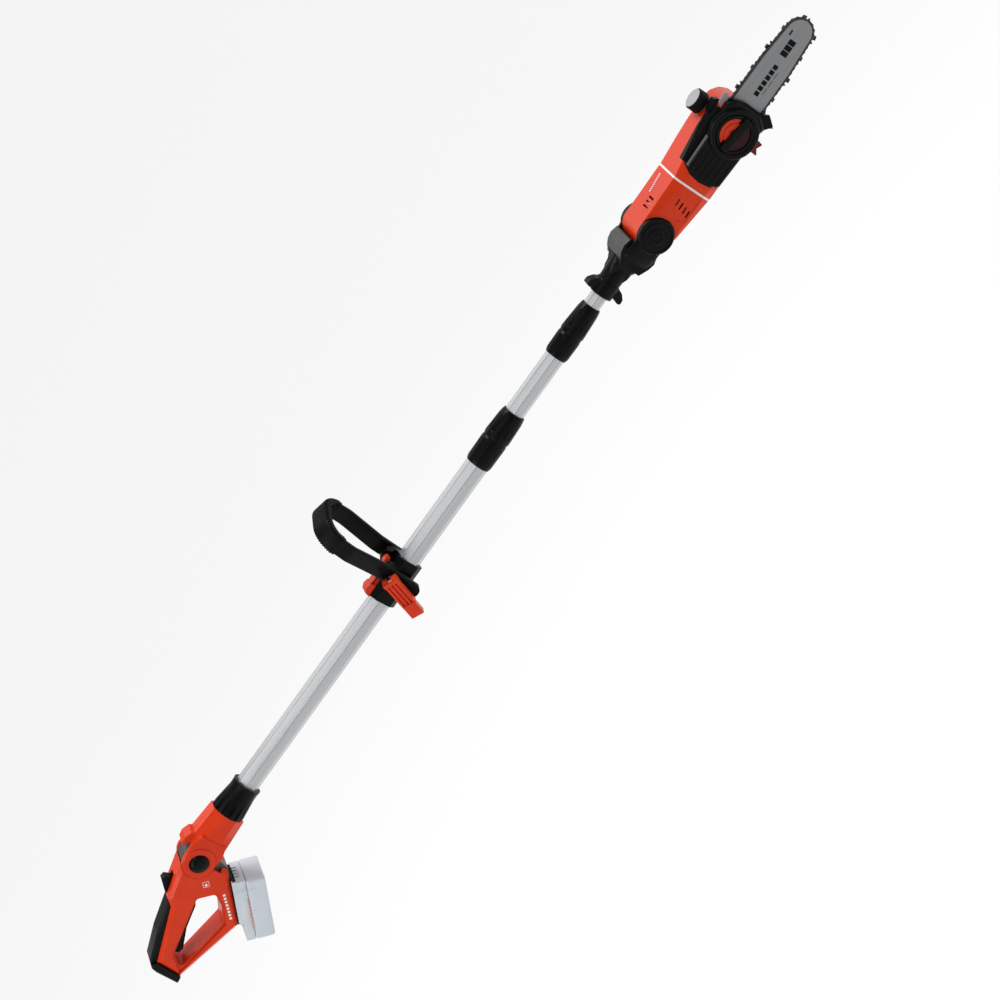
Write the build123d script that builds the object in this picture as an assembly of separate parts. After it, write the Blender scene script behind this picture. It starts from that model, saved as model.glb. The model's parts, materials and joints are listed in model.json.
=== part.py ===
from build123d import *
import math
import os

# Telescoping pole saw. Millimetres. +X runs along the pole towards the saw, +Z is up, and -Y is the
# side with the chain cover. The origin is on the pole's axis at the middle of the front grip's clamp.

# Pole: three octagonal tubes, one inside the next.
WALL = 1.5
CORNER_R = 2.0
LOWER_AF = 37.0
MID_AF = 32.0
UPPER_AF = 27.0
LOWER_SPAN = (-543.0, 298.4)
MID_SPAN = (-150.0, 509.0)
UPPER_SPAN = (60.0, 640.0)
GUIDE_GAP = 0.25

# Twist locks: where each base and nut starts and ends along the pole.
LOCK1 = {"base": (243.5, 294.6), "nut": (295.0, 348.5), "af": LOWER_AF, "inner_af": MID_AF, "r": 22.5}
LOCK2 = {"base": (462.6, 505.0), "nut": (505.4, 563.0), "af": MID_AF, "inner_af": UPPER_AF, "r": 20.5}

# Rear handle, which tilts about a pivot on the pole's axis.
PIVOT_X = -586.0
DRUM_R = 38.5
DRUM_CORE_R = 28.0
DRUM_HALF = 18.5
EAR_R = 29.0
EAR_OUT = 29.0
SHELL_WALL = 3.0
HANDLE_HALF = 27.0

# Battery rail: where it starts on the handle's front edge, and its direction down that edge.
RAIL_START = (-576.0, -53.0)
RAIL_ANGLE = 43.5
RAIL_SPAN = (24.0, 112.0)
BATTERY_SPAN = (24.0, 146.0)
BATTERY_HEIGHT = 50.0
BATTERY_WIDTH = 74.0
BATTERY_OFF = 9.0
TERMINALS = (-14.0, -5.0, 5.0, 14.0)

# Front grip and its clamp. The grip is turned a little about Z, so that its far leg is nearer the saw,
# and it leans towards the saw. Its route is (y, z) from the bolt.
CLAMP_SPAN = (-35.0, 48.0)
CLAMP_HALF = 21.0
BOLT_X = 26.0
BOLT_Z = 28.0
LOOP_YAW = 15.0
LOOP_LEAN = 5.0
LOOP_WIDTH = 31.0
LOOP_THICK = 10.0
LEG_Y = 35.5
LOOP_ROUTE = [(-LEG_Y, -60), (-LEG_Y, 22), (-49, 90), (-45, 145), (45, 145), (49, 90), (LEG_Y, 22),
              (LEG_Y, -60)]
LOOP_BENDS = [26.0, 30.0, 34.0, 34.0, 30.0, 26.0]
GRIP_START_Z = 113.0
LEG_IN = LEG_Y - LOOP_THICK / 2
LEG_OUT = LEG_Y + LOOP_THICK / 2
LEVER_LEAN = 19.0
LEVER_PIN_Y = -LEG_OUT - 9.5

# Saw head, which tilts about a pivot on the pole's axis.
TILT_X = 716.0
TILT_R = 30.5
HEAD_HALF = 42.0
NECK_HALF = 35.0
HEAD_WALL = 2.6
BAND_SPAN = (807.0, 810.6)

# Saw: bar plane, drive sprocket and bar nose.
BAR_Y = -22.0
BAR_Z = -4.5
BAR_THICK = 4.0
GROOVE = 1.6
GROOVE_DEPTH = 6.0
SPROCKET_X = 866.0
SPROCKET_PATH_R = 14.0
NOSE_X = 1100.0
NOSE_R = 22.3
CHAIN_PITCH = 19.05
CHAIN_HEIGHT = 4.5
TANG_DEPTH = 3.6
KNOB_X = 917.0
KNOB_R = 41.0

# Drive: a pinion on the motor's shaft turns a face gear on the sprocket's shaft.
PINION_TEETH = 12
GEAR_TEETH = 30
PINION_PITCH_R = 6.0
GEAR_PITCH_R = PINION_PITCH_R * GEAR_TEETH / PINION_TEETH
TOOTH_WIDTH = 0.9
GEAR_FACE_Y = -7.4

# Screws, as (x, z).
NECK_SCREWS = [(-500.0, 23.5), (-500.0, -23.5), (-545.0, -27.0)]
HANDLE_SCREWS = [(-640.0, -8.0), (-612.0, -57.0), (-668.0, -119.0), (-772.0, -66.0), (-722.0, -109.0)]
YOKE_SCREWS = [(662.0, 19.0), (662.0, -18.0), (626.0, -15.0)]
HEAD_SCREWS = [(742.0, 20.0), (742.0, -26.0), (800.0, -34.0), (872.0, 30.0), (950.0, 4.0)]

# Outlines of the rear handle, as (x, z).
HANDLE_OUTLINE = [(-592, 28), (-670, 7), (-682, -8.5), (-785.5, -49), (-791, -100), (-659.9, -132.6),
                  RAIL_START]
WINDOW = [(-648, -38), (-626, -62), (-640, -84), (-669, -107), (-778, -91), (-757, -64)]
KNUCKLE_TAIL = [(-568, -28), (-575, -54.5), (-589.5, -68.5), (-597, -62), (-592, -24)]
TRIGGER_PIVOT = (-652.0, -33.0)
TRIGGER_TRAVEL = 5.0
TRIGGER = [(-647, -36), (-655, -43), (-668, -53), (-711, -63.5), (-750, -82), (-759, -80), (-762, -72),
           (-755, -61), (-700, -46), (-664, -34), (-652, -28)]
BUTT = [(-785.5, -49), (-797, -44), (-802, -58), (-804.5, -102), (-791, -100)]
GRIP_PAD = [(-682, -8.5), (-678, -0.5), (-738, -17.5), (-790, -38), (-797, -44), (-785.5, -49)]

# Outlines of the saw head, as (x, z), and its cross-section, as (y, z).
HEAD_SIDE = [(712, 30), (812, 31.5), (896, 44), (934, 45.5), (949, 39), (961, 25), (967, 8), (967, -30),
             (950, -44), (812, -44.5), (713, -30)]
HEAD_SECTION = [(-42, -28), (-42, 6), (-40.5, 17), (-36, 28), (-30, 38), (-24, 44), (-16, 47.5),
                (16, 47.5), (24, 44), (30, 38), (36, 28), (40.5, 17), (42, 6), (42, -28), (30, -46),
                (-30, -46)]
VENT_PANEL = [(802, 8), (780, 8), (764, 2), (754, -12), (758, -27), (802, -27)]
COVER_OUTLINE = [(836, 31), (950, 34.5), (962, 24), (962, -27), (950, -43.5), (836, -40), (827, -26),
                 (824, -4), (827, 16)]


def xz_face(points, radius=0.0):
    """A flat face in the XZ plane from (x, z) corners, rounded where a radius is given."""
    corners = [(x, 0, z) for x, z in points]
    if radius:
        return make_face(FilletPolyline(*corners, radius=radius, close=True))
    return make_face(Polyline(*corners, close=True))


def plate(points, y_low, y_high, radius=0.0):
    """An outline in XZ, from one Y plane to another."""
    face = Pos(0, y_low, 0) * xz_face(points, radius)
    return extrude(face, amount=y_high - y_low, dir=(0, 1, 0))


def prism_x(points, x_low, x_high, radius=0.0):
    """An outline in YZ, from one X plane to another."""
    corners = [(x_low, y, z) for y, z in points]
    if radius:
        face = make_face(FilletPolyline(*corners, radius=radius, close=True))
    else:
        face = make_face(Polyline(*corners, close=True))
    return extrude(face, amount=x_high - x_low, dir=(1, 0, 0))


def block(x, y, z):
    """A box from three (low, high) pairs."""
    size = [high - low for low, high in (x, y, z)]
    middle = [(high + low) / 2 for low, high in (x, y, z)]
    return Pos(*middle) * Box(*size)


def rod_x(x_low, x_high, radius, y=0.0, z=0.0):
    return Pos((x_low + x_high) / 2, y, z) * Rot(0, 90, 0) * Cylinder(radius, x_high - x_low)


def rod_y(x, z, radius, y_low, y_high):
    return Pos(x, (y_low + y_high) / 2, z) * Rot(90, 0, 0) * Cylinder(radius, y_high - y_low)


def rod_z(x, y, radius, z_low, z_high):
    return Pos(x, y, (z_low + z_high) / 2) * Cylinder(radius, z_high - z_low)


def turned_x(profile):
    """A solid of revolution about the pole's axis from (x, radius) corners."""
    points = [(x, 0, radius) for x, radius in profile]
    return revolve(make_face(Polyline(*points, close=True)), axis=Axis.X)


def turned_y(profile, x, z):
    """A solid of revolution about a Y axis through (x, z) from (radius, y) corners."""
    points = [(radius, y, 0) for radius, y in profile]
    return Pos(x, 0, z) * revolve(make_face(Polyline(*points, close=True)), axis=Axis.Y)


def turned_z(profile, x, y):
    """A solid of revolution about a Z axis through (x, y) from (radius, z) corners."""
    points = [(radius, 0, z) for radius, z in profile]
    return Pos(x, y, 0) * revolve(make_face(Polyline(*points, close=True)), axis=Axis.Z)


def octagon(across_flats, x_low, x_high):
    """An octagonal bar along the pole, flats up and sideways, with rounded corners."""
    shape = RegularPolygon(across_flats / 2, 8, major_radius=False, rotation=22.5)
    shape = fillet(shape.vertices(), CORNER_R)
    return extrude(Plane.YZ.offset(x_low) * shape, amount=x_high - x_low)


def tube(across_flats, span):
    return octagon(across_flats, *span) - octagon(across_flats - 2 * WALL, span[0] - 1, span[1] + 1)


def half(solid, side):
    """The part of a solid on one side of the Y=0 plane: side is -1 or 1."""
    reach = 2000.0
    low, high = (-400.0, 0.0) if side < 0 else (0.0, 400.0)
    return solid & block((-reach, reach), (low, high), (-400.0, 400.0))


def save(node, solids):
    """Write one node's solids to its own file."""
    shape = Compound(children=list(solids)) if isinstance(solids, (list, tuple)) else solids
    export_step(shape, f"parts/{node}.step")


def screw_y(x, z, head_y, tip_y, head_r=3.6, shank_r=1.8, head_height=2.4):
    """A pan-head screw along Y, its head at head_y."""
    sign = 1.0 if tip_y > head_y else -1.0
    neck = head_y + sign * head_height
    socket = rod_y(x, z, 1.6, *sorted((head_y - sign, head_y + sign * 1.4)))
    head = rod_y(x, z, head_r, *sorted((head_y, neck))) - socket
    return head + rod_y(x, z, shank_r, *sorted((neck, tip_y)))


# ---------------------------------------------------------------- pole and twist locks

def fluted(solid, x_low, x_high, radius, count, depth):
    """Grooves along the pole, evenly spaced round a part."""
    cutters = []
    for i in range(count):
        cutter = rod_x(x_low, x_high, depth * 1.6, z=radius + depth * 0.6)
        cutters.append(Rot(360.0 * i / count, 0, 0) * cutter)
    return solid - cutters


def lock_base(lock):
    """The fixed half of a twist lock, with the threaded stub that its nut turns on."""
    start, end = lock["base"]
    r = lock["r"]
    profile = [(start, 0), (start, r - 1.8), (start + 6, r), (end - 4, r + 0.4), (end, r - 0.8), (end, 0)]
    body = fluted(turned_x(profile), start + 9, end - 7, r + 0.3, 16, 0.9)
    stub = rod_x(end - 1, end + 22, r - 2.4)
    return body + stub - octagon(lock["af"], start - 1, end + 4) - rod_x(end + 3, end + 30, r - 3.7)


def lock_collet(lock):
    """The split ring that the nut squeezes on the inner tube."""
    end = lock["base"][1]
    r = lock["r"] - 3.9
    profile = [(end + 5, 0), (end + 5, r), (end + 24, r), (end + 31, r - 1.2), (end + 31, 0)]
    ring = turned_x(profile) - octagon(lock["inner_af"] + 2 * GUIDE_GAP, end, end + 40)
    slit = block((end + 12, end + 40), (-1.0, 1.0), (0.0, 40.0))
    return ring - slit


def lock_nut(lock):
    """The turning half of a twist lock: a fluted cone over the stub and collet."""
    start, end = lock["nut"]
    r = lock["r"]
    exit_r = lock["inner_af"] / 2 / math.cos(math.pi / 8) + 1.2
    tip_r = exit_r + 1.5
    profile = [(start, 0), (start, r - 0.4), (start + 4, r + 0.8), (start + 10, r + 0.6)]
    profile += [(end - 12, tip_r + 1.6), (end - 3, tip_r + 0.2), (end, tip_r - 0.8), (end, 0)]
    body = fluted(turned_x(profile), start + 12, end - 10, r - 0.3, 12, 1.1)
    bore = [(start - 1, 0), (start - 1, r - 2.0), (start + 24, r - 2.0), (start + 25, r - 3.4)]
    bore += [(start + 33, r - 4.6), (start + 33, exit_r), (end + 1, exit_r), (end + 1, 0)]
    return body - turned_x(bore)


def make_pole():
    save("lower_tube", tube(LOWER_AF, LOWER_SPAN))
    save("mid_tube", tube(MID_AF, MID_SPAN))
    save("upper_tube", tube(UPPER_AF, UPPER_SPAN))
    for name, lock in (("lock1", LOCK1), ("lock2", LOCK2)):
        save(f"{name}_base", lock_base(lock))
        save(f"{name}_collet", lock_collet(lock))
        save(f"{name}_nut", lock_nut(lock))


# ---------------------------------------------------------------- rear neck and tilt pivot

def neck_body():
    """The red neck that the pole is held in, with the two ears that carry the handle."""
    rear = [(26, 15), (26, -15), (14, -34), (-14, -34), (-26, -15), (-26, 15), (-14, 35), (14, 35)]
    front = [(26, 12), (26, -12), (13, -30), (-13, -30), (-26, -12), (-26, 12), (-13, 30), (13, 30)]
    sections = []
    for x, points in ((-566.0, rear), (-490.0, front)):
        sections.append(make_face(Polyline(*[(x, y, z) for y, z in points], close=True)))
    neck = loft(sections)
    hood = [(-540, 20), (-542, 31), (-547, 39), (-559, 43.7), (-571, 41.6), (-579, 33), (-575, 22)]
    neck += plate(hood, -14, 14, 2.0)
    web = [(-586, 28.4), (-560, 31), (-540, 24), (-540, -24), (-560, -31), (-586, -28.4)]
    neck += plate(web, -27, 27)
    neck += chamfer(rod_y(PIVOT_X, 0, EAR_R, -EAR_OUT, EAR_OUT).edges(), 1.5)
    neck -= rod_y(PIVOT_X, 0, DRUM_R + 0.7, -DRUM_HALF - 0.5, DRUM_HALF + 0.5)
    neck -= block((-700, PIVOT_X), (-DRUM_HALF - 0.5, DRUM_HALF + 0.5), (-60, 60))
    neck -= block((PIVOT_X, -556), (-DRUM_HALF - 0.5, DRUM_HALF + 0.5), (-60, -29))
    neck -= rod_y(PIVOT_X, 0, 10.0, -40, 40)
    neck -= rod_y(PIVOT_X, 0, 17.5, -40, -22.5)
    neck -= rod_y(PIVOT_X, 0, 13.0, 25.0, 40)
    return neck - octagon(LOWER_AF, LOWER_SPAN[0], -480)


def make_neck():
    neck = neck_body()
    for x, z in NECK_SCREWS:
        neck -= rod_y(x, z, 1.8, -14, 14)
        neck -= rod_y(x, z, 3.7, 14, 40)
    save("neck_shell_right", half(neck, -1))
    save("neck_shell_left", half(neck, 1))
    save("neck_screws", [screw_y(x, z, 16.4, -13.0) for x, z in NECK_SCREWS])
    profile = [(-490, 0), (-490, 28.8), (-484, 29.2), (-446, 24.8), (-436, 24.8), (-430, 25.6), (-430, 0)]
    collar = fluted(turned_x(profile), -491, -429, 26.4, 14, 1.5)
    save("neck_collar", collar - octagon(LOWER_AF, -500, -400))
    pin = rod_y(PIVOT_X, 0, 10.0, -22.5, 25.0) - rod_y(PIVOT_X, 0, 6.0, -30, 20)
    save("handle_pivot_pin", pin + rod_y(PIVOT_X, 0, 12.9, 25.0, 28.2))
    dome = [(0, -36.5), (7, -36.1), (12, -34.6), (15.5, -31.6), (16.8, -28.5), (16.8, -26.6), (0, -26.6)]
    button = turned_y(dome, PIVOT_X, 0) + rod_y(PIVOT_X, 0, 5.9, -27, -12)
    save("handle_tilt_button", button)


# ---------------------------------------------------------------- rear handle

def grown(points, amount, y_low, y_high):
    """An outline in XZ grown or shrunk by an amount, as a plate."""
    face = offset(xz_face(points), amount=amount, kind=Kind.INTERSECTION)
    return extrude(Pos(0, y_low, 0) * face, amount=y_high - y_low, dir=(0, 1, 0))


def handle_body():
    """The two-shell handle with its hand window, hollow inside."""
    outer = plate(HANDLE_OUTLINE, -HANDLE_HALF, HANDLE_HALF)
    rim = outer.edges().filter_by(lambda e: abs(abs(e.center().Y) - HANDLE_HALF) < 0.01)
    outer = chamfer(rim, 6.5)
    window = plate(WINDOW, -60, 60, 7.0)
    for side in (-1, 1):
        y_low, y_high = sorted((side * (HANDLE_HALF - 3.5), side * (HANDLE_HALF + 1)))
        outer -= grown(WINDOW, 4.0, y_low, y_high)
    body = outer - window
    inner_half = HANDLE_HALF - SHELL_WALL - 2.5
    cavity = grown(HANDLE_OUTLINE, -5.5, -inner_half, inner_half) - grown(WINDOW, 3.4, -60, 60)
    body -= cavity
    body -= rod_y(PIVOT_X, 0, EAR_R + 0.8, -60, 60)
    body -= block((PIVOT_X, -500), (-60, 60), (-44, 60)) & rod_y(PIVOT_X, 0, 60, -60, 60)
    body -= knuckle_solid()
    for side in (-1, 1):
        body += rod_y(*TRIGGER_PIVOT, 5.5, *sorted((side * 8.6, side * (inner_half + 1))))
    for turn in (0.0, TRIGGER_TRAVEL / 2, TRIGGER_TRAVEL):
        body -= about_y(grown(TRIGGER, 0.7, -8.5, 8.5), *TRIGGER_PIVOT, turn)
    body -= rod_y(*TRIGGER_PIVOT, 7.4, -8.5, 8.5) + rod_y(*TRIGGER_PIVOT, 2.56, -14.2, 14.2)
    body -= plate([(-631, 8), (-631, 30), (-679, 20), (-679, -4)], -8.5, 8.5)
    return body


def about_y(shape, x, z, degrees):
    """Turn a shape about a Y axis through (x, z)."""
    return Pos(x, 0, z) * Rot(0, degrees, 0) * Pos(-x, 0, -z) * shape


def knuckle_solid():
    """The grey knuckle: a drum between the neck's ears, and a tail down between the handle's shells."""
    reach = DRUM_HALF - 0.1
    drum = rod_y(PIVOT_X, 0, DRUM_R, -reach, reach) & block((PIVOT_X - 6, -500), (-60, 60), (-60, -12))
    return drum + rod_y(PIVOT_X, 0, DRUM_CORE_R, -reach, reach) + plate(KNUCKLE_TAIL, -reach, reach)


def make_handle():
    body = handle_body()
    bosses = [rod_y(x, z, 5.5, -22, 22) for x, z in HANDLE_SCREWS]
    for boss in bosses:
        body += boss - plate(WINDOW, -60, 60, 7.0)
    for x, z in HANDLE_SCREWS:
        body -= rod_y(x, z, 1.8, -12, 30) + rod_y(x, z, 3.8, 14, 60)
    save("handle_shell_right", half(body, -1))
    save("handle_shell_left", half(body, 1))
    save("handle_screws", [screw_y(x, z, 16.4, -11.0) for x, z in HANDLE_SCREWS])
    save("handle_knuckle", knuckle_solid() - rod_y(PIVOT_X, 0, 10.06, -60, 60))
    pad_half = HANDLE_HALF - 8.5
    pad = plate(GRIP_PAD, -pad_half, pad_half)
    rims = [e for e in pad.edges() if abs(abs(e.center().Y) - pad_half) < 0.01 and e.length > 30]
    pad = chamfer([e for e in rims if -33 < e.center().Z and e.length < 70], 3.0)
    butt_half = HANDLE_HALF - 0.5
    butt = plate(BUTT, -butt_half, butt_half)
    low = [e for e in butt.edges() if abs(abs(e.center().Y) - butt_half) < 0.01 and e.center().X < -800]
    save("grip_pad", pad + chamfer(low, 3.0))
    make_trigger()
    make_electrics()


def make_trigger():
    trigger = plate(TRIGGER, -7.8, 7.8) + rod_y(*TRIGGER_PIVOT, 6.5, -7.8, 7.8)
    front = [e for e in trigger.edges() if abs(abs(e.center().Y) - 7.8) < 0.01 and e.center().Z < -55]
    trigger = chamfer(front, 2.0) + rod_y(*TRIGGER_PIVOT, 2.5, -14.0, 14.0)
    save("trigger", trigger)
    wedge = [(-637, 14), (-642, 28.5), (-650, 29.5), (-668, 10), (-668, 2.5), (-640, 9)]
    save("lock_off_button", plate(wedge, -7.8, 7.8))


def make_electrics():
    save("switch", block((-700, -677), (-9, 9), (-33, -25.5)))


def rail_block(u, y, n):
    """A box in the rail's own directions: u down the rail, y across, n away from the handle."""
    shape = block(u, y, (n[0], n[1]))
    x0, z0 = RAIL_START
    down = math.radians(RAIL_ANGLE)
    direction = Vector(-math.cos(down), 0, -math.sin(down))
    away = Vector(math.sin(down), 0, -math.cos(down))
    place = Plane(origin=(x0, 0, z0), x_dir=direction, z_dir=away)
    return place.location * shape


def make_battery():
    start, end = RAIL_SPAN
    shoe = rail_block((start - 2, end + 4), (-22, 22), (0.2, 4.2))
    shoe += rail_block((start, end), (-27, 27), (4.2, 7.0))
    for y in TERMINALS:
        shoe += rail_block((start + 6, start + 28), (y - 0.6, y + 0.6), (6.5, 15.0))
    save("battery_rail", shoe)
    first, last = BATTERY_SPAN
    top = BATTERY_OFF
    bottom = BATTERY_OFF + BATTERY_HEIGHT
    half_width = BATTERY_WIDTH / 2
    upper = rail_block((first, last), (-half_width + 4, half_width - 4), (top, top + 16))
    for side in (-1, 1):
        upper += rail_block((first, end), sorted((side * 27.4, side * 31.0)), (1.6, top))
        upper += rail_block((first, end), sorted((side * 22.6, side * 27.4)), (1.6, 3.8))
    for y in TERMINALS:
        upper -= rail_block((first - 5, start + 32), (y - 1.4, y + 1.4), (top - 1, top + 8))
    upper -= rail_block((last - 11, last + 1), (-12.3, 12.3), (top + 5.7, top + 12.3))
    save("battery_top", upper)
    lower = rail_block((first, last), (-half_width, half_width), (top + 16, bottom))
    lower = fillet(lower.edges().filter_by(lambda e: e.length > 20), 5.0)
    room = rail_block((first + 5, last - 5), (-half_width + 3.5, half_width - 3.5), (top + 16, bottom - 3))
    save("battery_case", lower - room)
    catch = rail_block((last + 3.4, last + 8), (-16, 16), (top + 3, top + 26))
    catch += rail_block((last - 7, last + 4), (-12, 12), (top + 6, top + 12))
    save("battery_catch", catch)


# ---------------------------------------------------------------- front grip

def at_bolt(shape, lean=0.0):
    """Set a part of the front grip, drawn about the clamp bolt along Y, in its place."""
    return Pos(BOLT_X, 0, BOLT_Z) * Rot(0, 0, -LOOP_YAW) * Rot(0, lean, 0) * shape


def loop_band(grow):
    """The pear-shaped bent band of the front grip, grown outwards by an amount."""
    route = FilletPolyline(*[(0, y, z) for y, z in LOOP_ROUTE], radius=LOOP_BENDS)
    section = Plane(origin=(0, *LOOP_ROUTE[0]), x_dir=(1, 0, 0), z_dir=(0, 0, 1))
    shape = RectangleRounded(LOOP_WIDTH + 2 * grow, LOOP_THICK + 2 * grow, 4.0 + grow)
    return sweep(section * shape, path=route)


def make_loop():
    band = loop_band(0.0)
    grip = (loop_band(2.0) & block((-60, 60), (-90, 90), (GRIP_START_Z, 180))) - band
    round_r = LOOP_WIDTH / 2
    tip_z = LOOP_ROUTE[0][1] + round_r
    band -= block((-40, 40), (-60, 60), (tip_z - 40, tip_z)) - rod_y(0, tip_z, round_r, -60, 60)
    band -= rod_y(0, 0, 4.3, -60, 60)
    save("loop_frame", at_bolt(band, LOOP_LEAN))
    save("loop_grip", at_bolt(grip, LOOP_LEAN))
    make_clamp()
    make_cam_lever()


def make_clamp():
    """The clamp on the lower tube, the grip's bolt and the red latch that slides in the clamp's top."""
    low, high = CLAMP_SPAN
    edge = CLAMP_HALF
    bore = octagon(LOWER_AF + 2 * GUIDE_GAP, low - 1, high + 1)
    shape = [(-edge, -12), (-11, -23.5), (11, -23.5), (edge, -12), (edge, 10), (-edge, 10)]
    save("clamp_lower", prism_x(shape, low, high) - bore)
    top = [(-edge, 10), (edge, 10), (edge, 15), (13, 26), (-13, 26), (-edge, 15)]
    upper_half = prism_x(top, low, high)
    cheek = [(-17, -14), (-10, 8), (0, 12), (10, 8), (17, -14)]
    for side in (-1, 1):
        upper_half += at_bolt(plate(cheek, *sorted((side * 12.0, side * (LEG_IN - 0.3))), 2.0))
    upper_half -= bore
    upper_half -= block((low - 5, high + 5), (-11.5, 11.5), (20.0, 60))
    upper_half -= at_bolt(rod_y(0, 0, 4.0, -60, 60))
    save("clamp_upper", upper_half)
    eye = block((-3.5, 3.5), (LEVER_PIN_Y, -LEG_OUT - 0.6), (-3.4, 3.4)) + rod_x(-3.5, 3.5, 5.6, LEVER_PIN_Y)
    eye = Rot(0, LEVER_LEAN, 0) * (eye - rod_x(-10, 10, 2.56, LEVER_PIN_Y))
    bolt = rod_y(0, 0, 4.0, -LEG_OUT - 1.0, LEG_OUT + 9.0) + eye
    hexagon = Rot(90, 0, 0) * extrude(RegularPolygon(7.5, 6), amount=3, both=True)
    nut = Pos(0, LEG_OUT + 3.6, 0) * hexagon - rod_y(0, 0, 4.0, 0, 90)
    save("loop_bolt", [at_bolt(bolt), at_bolt(nut)])
    thumb = [(-38, 26), (-36, 34), (-27, 38), (-18, 36), (-16, 28), (-22, 20.6), (-34, 20.6)]
    latch = plate(thumb, -11, 11) + block((-30, 14), (-9, 9), (20.6, 30.0))
    latch += block((-22, 36), (-8, 8), (32.6, 35.4)) + rod_z(29.5, 0, 6.5, 33, 39)
    save("loop_latch", latch)


def make_cam_lever():
    """The ribbed quick-release lever: a forked cam on a cross pin, lying down along the near leg."""
    pin = LEVER_PIN_Y
    body = rod_x(-12.5, 12.5, 8.0, pin)
    body += block((-12.5, 12.5), (pin - 6.0, pin + 3.0), (-56, 0))
    body += block((-11.5, 11.5), (pin - 10.0, pin + 1.0), (-82, -52))
    for x in (-10.5, -3.5, 3.5, 10.5):
        body += block((x - 1.8, x + 1.8), (pin - 9.0, pin), (-54, 0))
    body += block((-13.0, 13.0), (pin - 10.5, pin - 2.0), (-1.0, 5.5))
    rims = [e for e in body.edges() if e.center().Z < -81.5]
    body = fillet(rims, 2.0)
    body -= block((-3.9, 3.9), (pin - 6.4, 0), (-6.4, 30)) + rod_x(-3.9, 3.9, 6.4, pin)
    body += rod_x(-5.0, 5.0, 2.5, pin)
    save("cam_lever", at_bolt(body, LEVER_LEAN))


# ---------------------------------------------------------------- head neck and tilt joint

def yoke_body():
    """The black neck: a stem round the upper tube that opens into two arms round the saw head."""
    plan = [(614, 12), (640, 20), (664, 36), (684, 43.5), (700, 45), (720, 45)]
    plan_outline = [(x, y, -40) for x, y in plan] + [(x, -y, -40) for x, y in reversed(plan)]
    wings = extrude(make_face(Polyline(*plan_outline, close=True)), amount=80, dir=(0, 0, 1))
    arm = [(614, 12), (640, 19), (655, 22), (670, 26), (690, 24), (712, 26), (712, -26), (690, -24),
           (670, -27), (655, -23), (640, -19), (614, -12)]
    knuckle = [(648, 18), (657, 25), (665, 30), (676, 32.5), (690, 29), (690, -27), (676, -31), (664, -28),
               (648, -20)]
    rounding = [(590, 0), (590, 21), (640, 24), (664, 41), (684, 47.5), (725, 50), (725, 0)]
    body = wings & plate(arm, -60, 60) & turned_x(rounding)
    body += plate(knuckle, -NECK_HALF + 1, NECK_HALF - 1)
    stem = [(588, 0), (588, 18.5), (612, 19), (640, 20.5), (655, 24), (668, 24), (668, 0)]
    body += turned_x(stem)
    body += chamfer(rod_y(TILT_X, 0, 30.3, -46.0, 46.0).edges(), 1.4)
    body -= rod_y(TILT_X, 0, TILT_R + 0.7, -NECK_HALF - 0.6, NECK_HALF + 0.6)
    body -= block((TILT_X - 26, 800), (-NECK_HALF - 0.6, NECK_HALF + 0.6), (-60, 60))
    for side in (-1, 1):
        groove = rod_y(TILT_X, 0, 26.0, *sorted((side * 44.6, side * 50)))
        body -= groove - rod_y(TILT_X, 0, 23.0, -60, 60)
    body -= octagon(UPPER_AF, 580, UPPER_SPAN[1]) + rod_x(UPPER_SPAN[1], 700, 8.6)
    body -= rod_y(TILT_X, 0, 8.0, -60, 60)
    return body - rod_y(TILT_X, 0, 15.4, -60, -38.5)


def make_yoke():
    body = yoke_body()
    for x, z in YOKE_SCREWS:
        body -= rod_y(x, z, 1.5, -8, 8)
        body -= rod_y(x, z, 3.0, 8, 60)
    save("yoke_right", half(body, -1))
    save("yoke_left", half(body, 1))
    save("yoke_screws", [screw_y(x, z, 10.2, -7.0, 2.9, 1.5, 2.0) for x, z in YOKE_SCREWS])
    axle = rod_y(TILT_X, 0, 8.0, -38.5, 44.5) - rod_y(TILT_X, 0, 5.0, -60, 36)
    save("tilt_axle", axle)
    profile = [(0, -47.6), (5, -47.6), (6, -46.6), (8, -46.6), (9, -47.8), (11.5, -47.8), (12.5, -46.8)]
    profile += [(15, -46.4), (15, -43.6), (0, -43.6)]
    button = turned_y(profile, TILT_X, 0) + rod_y(TILT_X, 0, 4.9, -44, -26)
    save("tilt_button", button)
    save("release_sleeve", sleeve_body())


def sleeve_body():
    """The sprung sleeve with two swept-back finger wings that frees the head from the pole."""
    body = turned_x([(585, 0), (585, 17.4), (586.6, 20.4), (606, 21.4), (611, 20.6), (611, 0)])
    wing = [(611, 16), (606, 26), (598, 33), (590, 33.5), (588, 29), (592, 20), (594, 12)]
    for sign, reach in ((1, 1.0), (-1, 1.08)):
        body += plate([(x, sign * z * reach) for x, z in wing], -9.0, 9.0, 1.5)
    body -= rod_x(587.7, 620, 19.6)
    return body - octagon(UPPER_AF + 2 * GUIDE_GAP, 570, 600)


# ---------------------------------------------------------------- saw head

def head_solid(inset):
    """The head's outer form, shrunk inwards by an amount."""
    side = grown(HEAD_SIDE, -inset, -60, 60) if inset else plate(HEAD_SIDE, -60, 60)
    corners = [(600.0, y, z) for y, z in HEAD_SECTION]
    face = make_face(Polyline(*corners, close=True))
    if inset:
        face = offset(face, amount=-inset, kind=Kind.INTERSECTION)
    return side & extrude(face, amount=500, dir=(1, 0, 0))


def cover_zone(grow, y_high):
    """The room on the near side that the bar, chain and cover take."""
    front = COVER_OUTLINE[:2] + [(990, 34.5), (990, -43.5)] + COVER_OUTLINE[4:]
    return grown(front, grow, -80, y_high) + rod_y(KNOB_X, BAR_Z, 42.5 + grow, -80, y_high)


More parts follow.
